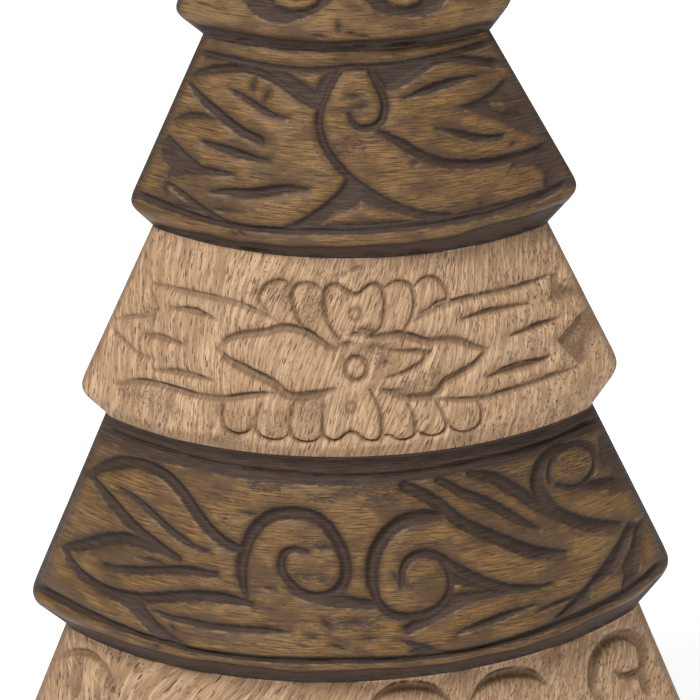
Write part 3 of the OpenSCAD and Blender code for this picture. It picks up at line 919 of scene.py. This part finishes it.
def carve_third(c):
    """Open flower in the middle with long slotted leaves to each side."""
    petal(c, (-2.6, 29.8), (-5, 33), (-6.1, 37), (-6, 40.2), (-4.8, 42), (-3, 42.4), (-1, 41.2), (1, 40.1),
        (2.5, 40.1), (4.4, 41.6), (6.5, 42.4), (8.3, 41.1), (9, 38), (8.7, 34.6), (7.8, 32), (5.8, 30.5))
    petal(c, (-6.1, 40.6), (-8, 42.1), (-10.5, 42.6), (-13, 41.8), (-14, 39.5), (-13.5, 36), (-12, 33),
        (-10, 30.4))
    petal(c, (-14, 41.6), (-16, 42.9), (-18.5, 42.6), (-21, 41), (-22.3, 38.8), (-22, 37.1), (-20.6, 35.8))
    petal(c, (9.3, 41.4), (11, 42.4), (13.5, 42.4), (15.5, 41.1), (16.3, 38.5), (16, 35.5), (15, 33),
        (13.8, 31.2))
    petal(c, (16.4, 41), (18, 42.6), (20.5, 42.9), (22.5, 41.8), (24, 39.8), (24.6, 37.4), (22, 36.8),
        (20, 35.6), (18, 34.9))
    c.ring((1.8, 35.3), 1.4, 0.8, deep=0.4)
    c.ring((0.3, 13.8), 1.2, 0.7, deep=0.35)
    # diamond leaves
    c.groove([(-32.3, 25.7), (-30.5, 27.8), (-27, 29.3), (-23, 30.2), (-20, 30.8), (-17.5, 31.8),
        (-14, 31.9), (-10, 30.8), (-7, 29), (-3.6, 27.2)], 2, (0.4, 0.5))
    c.groove([(-32.6, 25.2), (-30, 23.2), (-27, 22), (-24, 20.8), (-20.5, 19.6), (-18.3, 18.5),
        (-16.5, 16.9), (-14.5, 16.2), (-12, 16.2), (-9, 16.8), (-6, 17.5), (-3.6, 18.2)], 2.3, (0.4, 0.4))
    c.groove([(5.5, 30.1), (9, 30.3), (13, 30.2), (16, 29.2), (19.5, 28), (24, 28), (28, 27), (31, 25.4),
        (34, 24.3)], 1.9, (0.5, 0.5))
    c.groove([(34.2, 24.2), (31.5, 21.6), (28.5, 20.1), (25, 19), (23.3, 18), (22, 16.5), (20.3, 15.6),
        (17, 15.4), (13.5, 15.7), (11, 16.8), (8.3, 17.6)], 2, (0.5, 0.4))
    c.grooves(1.4, [(10, 26.8), (13, 26.3), (16.5, 26), (19.2, 25.2), (18, 23.5), (16, 22.3), (13, 21.2),
        (8.8, 20.4)])
    c.ring((1.6, 22.8), 2.7, 1.1, deep=0.6)
    # long left leaf and its slots
    c.grooves(1.4, [(-49, 37.2), (-40, 37.3), (-32, 37), (-27, 36.4), (-23, 35.3), (-20, 34.3),
        (-17.6, 33.2)], deep=0.35)
    c.grooves(1.5, [(-58.8, 11.9), (-56.5, 12.6), (-54.5, 13.6), (-50, 14.5), (-45, 14.5), (-38, 14),
        (-31, 14.3), (-27, 15.2), (-22, 16.2), (-18, 16.9)])
    c.grooves(1.6, [(-45, 32.6), (-40, 33.2), (-37, 33.1), (-33, 32)], [(-51.5, 24.9), (-48.5, 25.4),
        (-46, 25.5), (-41.5, 25)], [(-49, 17.6), (-44, 18.4), (-40, 18.5), (-34, 18)])
    c.grooves(0.9, [(-50, 36.5), (-49, 34), (-47.5, 31.5)], [(-59, 26), (-54, 28.3), (-48.5, 29.9)],
        [(-60, 24.6), (-56, 21.8), (-53, 20.3), (-48, 20)], deep=0.35)
    # long right leaf and its slots
    c.grooves(1.4, [(16.3, 33), (20, 34.8), (24, 36), (28, 36.7), (35, 36.9), (42, 36.9), (48, 37.2),
        (51.3, 37.8)], [(21, 14.7), (25, 14), (30, 13.4), (35, 13.4), (40, 13.8), (45, 14.2), (50, 14.5),
        (57, 14.6)], deep=0.4)
    c.grooves(1.7, [(28, 32), (32, 32.6), (36, 32.8), (41, 32.8), (45, 32.4)], [(40.3, 26.2), (44, 26.6),
        (47, 26.8), (52.6, 27.1)])
    c.grooves(2.3, [(34.3, 17.8), (38, 18.5), (43, 18.7), (48, 18.8), (50.3, 19.1)])
    c.recess([(50.6, 37.6), (52.3, 37.4), (53, 34.7), (56, 32.6), (59.5, 31), (59, 30.2), (54, 31),
        (50, 31.6), (51, 33.5)], 0.7)
    c.recess([(52, 22.2), (55, 24), (58, 25.8), (60.5, 27.8), (62.6, 23), (61, 19), (60, 15.5), (58, 14.8),
        (56, 17.3), (54, 19.8)], 0.8)
    # lower petals
    petal(c, (-6.4, 14.5), (-7, 10), (-6.5, 7), (-4.5, 5.2), (-2.5, 6), (-1.3, 7.6), (0.3, 8.2), (2, 7.4),
        (3.2, 5.8), (4.8, 4.9), (6.8, 5), (7.6, 6.7), (7.9, 10), (7.2, 13.5), (5, 17.8))
    petal(c, (-7, 7), (-9, 5), (-11.3, 4.5), (-13.8, 5.5), (-15, 8), (-15, 11), (-14, 14.5))
    petal(c, (-15, 7.4), (-17, 5.2), (-19.7, 4.6), (-22.3, 5.8), (-23.5, 8.5), (-23.3, 11), (-22, 14))
    petal(c, (-24, 10.5), (-25, 7.5), (-28, 5.6), (-31, 7), (-32, 10), (-31.4, 13))
    petal(c, (7.8, 6.5), (10, 6.6), (11.5, 5), (13.5, 4.5), (15.8, 6), (16.1, 9), (15.5, 12), (14, 14.5))
    petal(c, (16.4, 7.6), (18.4, 5.8), (20.5, 4.8), (22.6, 5.6), (24, 8), (23.3, 10.5), (22, 13),
        (21.2, 14.4))
    petal(c, (24.4, 9), (25.3, 7), (27, 5), (29.5, 4.5), (31.8, 6), (32.8, 9), (32.2, 12), (31, 13.4))
    # torn grain, knots and stains
    c.marks(((0, 30.6), (3.4, 30.9)), ((-2, 28.4), (1.6, 28.8)), ((4.6, 27.6), (6.4, 27.4)),
            ((7, 27.6), (9.6, 27.2)), ((8.5, 24), (9.8, 23.8)), ((3.5, 24.8), (4.6, 24.2)),
            ((13.6, 30.9), (14.9, 32.9)), ((-22.3, 38.6), (-21.8, 36)), ((24.3, 36.8), (25.8, 36.9)),
            ((7.6, 11), (7.9, 8)), ((-24, 10.6), (-23.7, 7.6)), ((9.5, 17.6), (14.5, 17)),
            ((2.4, 31.9), (4.6, 31.6)), ((0.4, 45.5), (3.6, 46.5)), width=1.1)
    c.stains(
        (0.9, (-3, 31), (5, 31.5), (10, 28.5), (6, 26.5), (-3, 27.5)),
        (1.3, (4, 32.3), (6, 32), (6, 30.6), (2, 30.8)),
        (0.7, (6, 26.5), (11, 26), (10, 23), (6.5, 22.5)),
        (0.7, (12, 18.6), (21, 22), (23, 20), (15, 16.4), (9, 17)),
        (0.55, (-58, 12), (-44, 12), (-42, 9), (-56, 9.5)),
        (0.9, (-34.5, 3.6), (-31.5, 3.6), (-31.5, 1.6), (-34.5, 1.6)),
        (0.7, (-31, 6.6), (-27, 6.8), (-26.6, 3), (-30.6, 2.6)),
        (0.8, (53, 34), (60, 31.6), (60, 30), (52, 31.4)),
        (0.7, (52.5, 22.4), (60.6, 27), (62, 22), (60, 15), (57, 16.5)),
        (0.3, (-54, 29), (-50, 27), (-47, 30.5), (-50, 33)),
        # painted sheen: the pale patch over the left diamond leaf
        (-0.2, (-17, 29.5), (-9, 27), (-7, 20), (-14, 18.5), (-20, 22), (-20, 27)),
        (-1.4, (-2, 30.4), (3, 31), (5, 29), (1, 28.6)),
        (-0.35, (-44, 36), (-30, 35.5), (-30, 33), (-44, 34)),
        (-0.35, (26, 24), (44, 25), (44, 21.5), (30, 20.5)),
        (0.45, (-9, 12), (-4, 17), (-12, 17), (-14, 12)))
    # petals whose bulge cuts the fibres across, so that they show as dots
    c.stains(
        (0.22, (-21, 41), (-21, 37), (-17, 34), (-14, 36), (-14.5, 40), (-17, 42.5)),
        (0.2, (-12, 41), (-13, 36), (-10, 31), (-7, 34), (-7, 39), (-9, 42)),
        (0.25, (-31, 7), (-28, 6), (-25, 8), (-24.5, 12), (-31, 12.5)),
        (0.22, (-23, 8), (-20, 5), (-16, 7), (-15.5, 12), (-22, 14)),
        (0.18, (-14, 8), (-12, 5), (-8, 6), (-8, 12), (-13.5, 13)),
        (0.15, (25, 8), (29, 5), (32, 8), (31.5, 12), (26, 12)),
        (0.3, (-4, 36), (-10, 31), (-12, 35), (-8, 39)))


def carve_top(c):
    """Two round bosses over the rim, with leaves rising to the tip; rubbed paler than the rest."""
    c.wear_and_sheen -= 0.4
    c.below([(-42, 2.4), (-30, 2.3), (-20, 1.7), (-10, 1.1), (0, 0.9), (10, 1), (20, 1.3), (30, 1.9),
        (42, 3)])
    c.recess([(-25, 12), (-21.6, 8.6), (-18, 7.2), (-14, 7), (-11, 8.2), (-7, 9.7), (-4, 11.5),
        (-1.6, 13.6), (-3.6, 21), (-8, 24.6), (-15, 24.6), (-21, 21.6), (-24, 16.5)], 1)
    c.island([(-18.2, 14.5), (-17, 10.9), (-13, 10), (-9, 10.3), (-6, 11.8), (-5, 15), (-6, 19), (-9, 21.8),
        (-13, 21.8), (-16.6, 19)], 0.1)
    c.recess([(5, 13), (8, 10), (11, 8.7), (15, 8.2), (20, 7.7), (24, 9.2), (26, 12), (26, 17), (22.6, 22),
        (17, 24.6), (10, 23.6), (6, 19.6)], 1)
    c.island([(8.8, 14), (12, 10.8), (15.5, 10.2), (18.5, 10.8), (21.2, 13.4), (21.6, 17), (19, 20.8),
        (14.6, 21.8), (10.6, 19.8), (8.8, 17)], 0.1)
    for side in (-1, 1):
        leaf = [(side * 1.5, 24), (side * 6, 29), (side * 10, 35), (side * 10.5, 42), (side * 7, 50),
                (side * 2.4, 56)]
        c.groove(leaf, 2.2)
        c.groove([(side * 26, 22), (side * 27, 28), (side * 22, 34), (side * 14, 36)], 2)
        c.grooves(1.6, [(side * 6, 33), (side * 6.6, 39), (side * 4.2, 46)],
                  [(side * 24, 25.5), (side * 22, 29.6), (side * 17, 32.4)],
                  [(side * 14, 42), (side * 13.4, 47), (side * 9.6, 53)],
                  [(side * 8, 57), (side * 6.6, 63), (side * 3.4, 69)])
    c.groove([(0, 30), (0.4, 40), (0, 50)], 1.8)
    c.groove([(0, 60), (-0.4, 66), (0, 73)], 1.6)
    c.marks(((-7, 3), (-5, 2.5)), ((1, 4), (3, 3.4)), ((3, 2.6), (5.6, 2.2)), ((-1.4, 7.6), (-1, 4.4)))
    c.stains(
        (0.75, (9, 7.4), (24, 7), (24, 4), (12, 3.4)),
        (0.6, (-12, 4), (-4, 3.4), (-4, 2), (-12, 2.6)),
        (0.65, (0, 5), (7, 5), (7, 2), (1, 2)))


def curl(c, middle, height, reach, width):
    """The arch at the top of one of the bottom tier's curls."""
    c.groove([(middle - reach, height - 4.4), (middle - 0.74 * reach, height - 1.6),
        (middle - 0.3 * reach, height), (middle + 0.25 * reach, height - 0.2),
        (middle + 0.72 * reach, height - 1.9), (middle + reach, height - 4.6)], width)


def carve_bottom(c):
    """Row of curls under the top edge, long slotted leaves hanging below them."""
    c.groove([(-76, 52.6), (-73, 55.5), (-70, 57), (-66.5, 57.6), (-63.5, 56), (-61.6, 53.4)], 1.7)
    c.grooves(1.3, [(-69.6, 56.6), (-71.6, 53), (-72.7, 49.4), (-72, 46.6), (-70.8, 49), (-70, 52.6),
        (-69.4, 56)])
    c.grooves(1.1, [(-66.4, 52), (-65.8, 48.6), (-64.8, 46)])
    curl(c, 14, 60.2, 10, 2.3)
    curl(c, 39, 59.9, 9.4, 2.5)
    c.groove([(63.6, 46), (61.2, 50), (60.6, 54), (61.2, 57.6), (64, 60), (67.5, 60.2), (71, 58.6),
        (73.6, 55.6), (74.2, 52.4), (73.4, 49.8), (70.6, 49.8), (68.4, 50.8), (66.6, 52.4)], 2.3,
        (0.4, 0.3))
    c.groove([(73.4, 49.6), (74.6, 46.4), (76.2, 43.2)], 2.2, (0.8, 0.4))
    curl(c, -18, 40, 12, 2.2)
    curl(c, -50, 38.5, 11, 2.2)
    for k, middle in enumerate((-68, -46, -23, 1, 26, 51, 72)):
        top = 44 - 0.0016 * middle ** 2
        for side in (-1, 1):
            c.groove([(middle, top), (middle + side * 6.5, top - 7), (middle + side * 8, top - 15),
                      (middle + side * 5, top - 22), (middle, top - 26)], 2)
        c.grooves(1.8, [(middle, top - 7), (middle + (-1) ** k, top - 13), (middle, top - 19)])
    c.stain([(-64, 55), (-60, 55), (-60, 48), (-64, 48)], 0.3)


# ---- the whole tree

# Material of each of the record's slots that the tiers use
TIER_MATERIALS = {"dark_bronze_wood": "rubbed_bronze_wood", "natural_wood": "bare_mango_wood"}

# Each tier with its pattern, its slot, its grain and how deep it is carved
TIERS = [
    (Tier("top_tier", [JOINT_1_2, RIM_1, TIP, TIP_TOP], 227.0,
          [(-20, 23), (0, 34.9), (7.5, 41.0), (89, 2.0)], -0.5, bore_top=258.0),
     carve_top, "dark_bronze_wood", brushed_grain, 1.0),
    (Tier("second_tier", [JOINT_2_3, RIM_2, JOINT_1_2], 176.5,
          [(-20, 35), (0, 49.4), (8.3, 55.0), (50.5, 34.9), (60, 30.1)], 1.0),
     carve_second, "dark_bronze_wood", brushed_grain, 1.0),
    (Tier("third_tier", [JOINT_3_4, RIM_3, JOINT_2_3], 128.0,
          [(-20, 48.5), (0, 61.5), (8, 66.7), (48.5, 49.4), (60, 44.5)], -0.2),
     carve_third, "natural_wood",
     leaning_grain([(-60, 0.1), (-30, 0.12), (-12, 0.34), (8, 0.42), (24, 0.22), (45, 0.08)], 30), 1.35),
    (Tier("fourth_tier", [JOINT_4_5, RIM_4, JOINT_3_4], 71.5,
          [(-20, 59), (0, 73.3), (10.5, 80.7), (56.5, 61.5), (68, 56.7)], -0.5),
     carve_fourth, "dark_bronze_wood", brushed_grain, 1.0),
    (Tier("bottom_tier", [FOOT, RIM_5, JOINT_4_5], 10.0,
          [(-20, 73), (0, 85.5), (12, 93.0), (61.5, 73.3), (72, 69.1)], -0.1),
     carve_bottom, "natural_wood",
     leaning_grain([(-70, -0.05), (-50, 0.25), (-25, 0.62), (5, 0.7), (30, 0.2), (60, 0.1)], 0), 1.35),
]


def dress_cad_nodes():
    """The pieces whose CAD shape is right keep it and get a material."""
    for node, material in (("left_dowel", "birch_dowel"), ("right_dowel", "birch_dowel"),
                           ("base_board", "stained_board"), ("felt_pads", "pressed_felt")):
        piece = bpy.data.objects[node]
        piece.data.materials.clear()
        piece.data.materials.append(bpy.data.materials[material])


make_camera()
make_studio()
dark_bronze_wood()
natural_wood()
plain_wood("birch_dowel", (0.60, 0.44, 0.27), (0.42, 0.28, 0.16), 2, 0.6)
plain_wood("stained_board", (0.060, 0.044, 0.036), (0.030, 0.022, 0.018), 0, 0.5)
felt()
for tier, carve, slot, grain_of, strength in TIERS:
    build_tier(tier, carve, slot, grain_of, strength)
dress_cad_nodes()
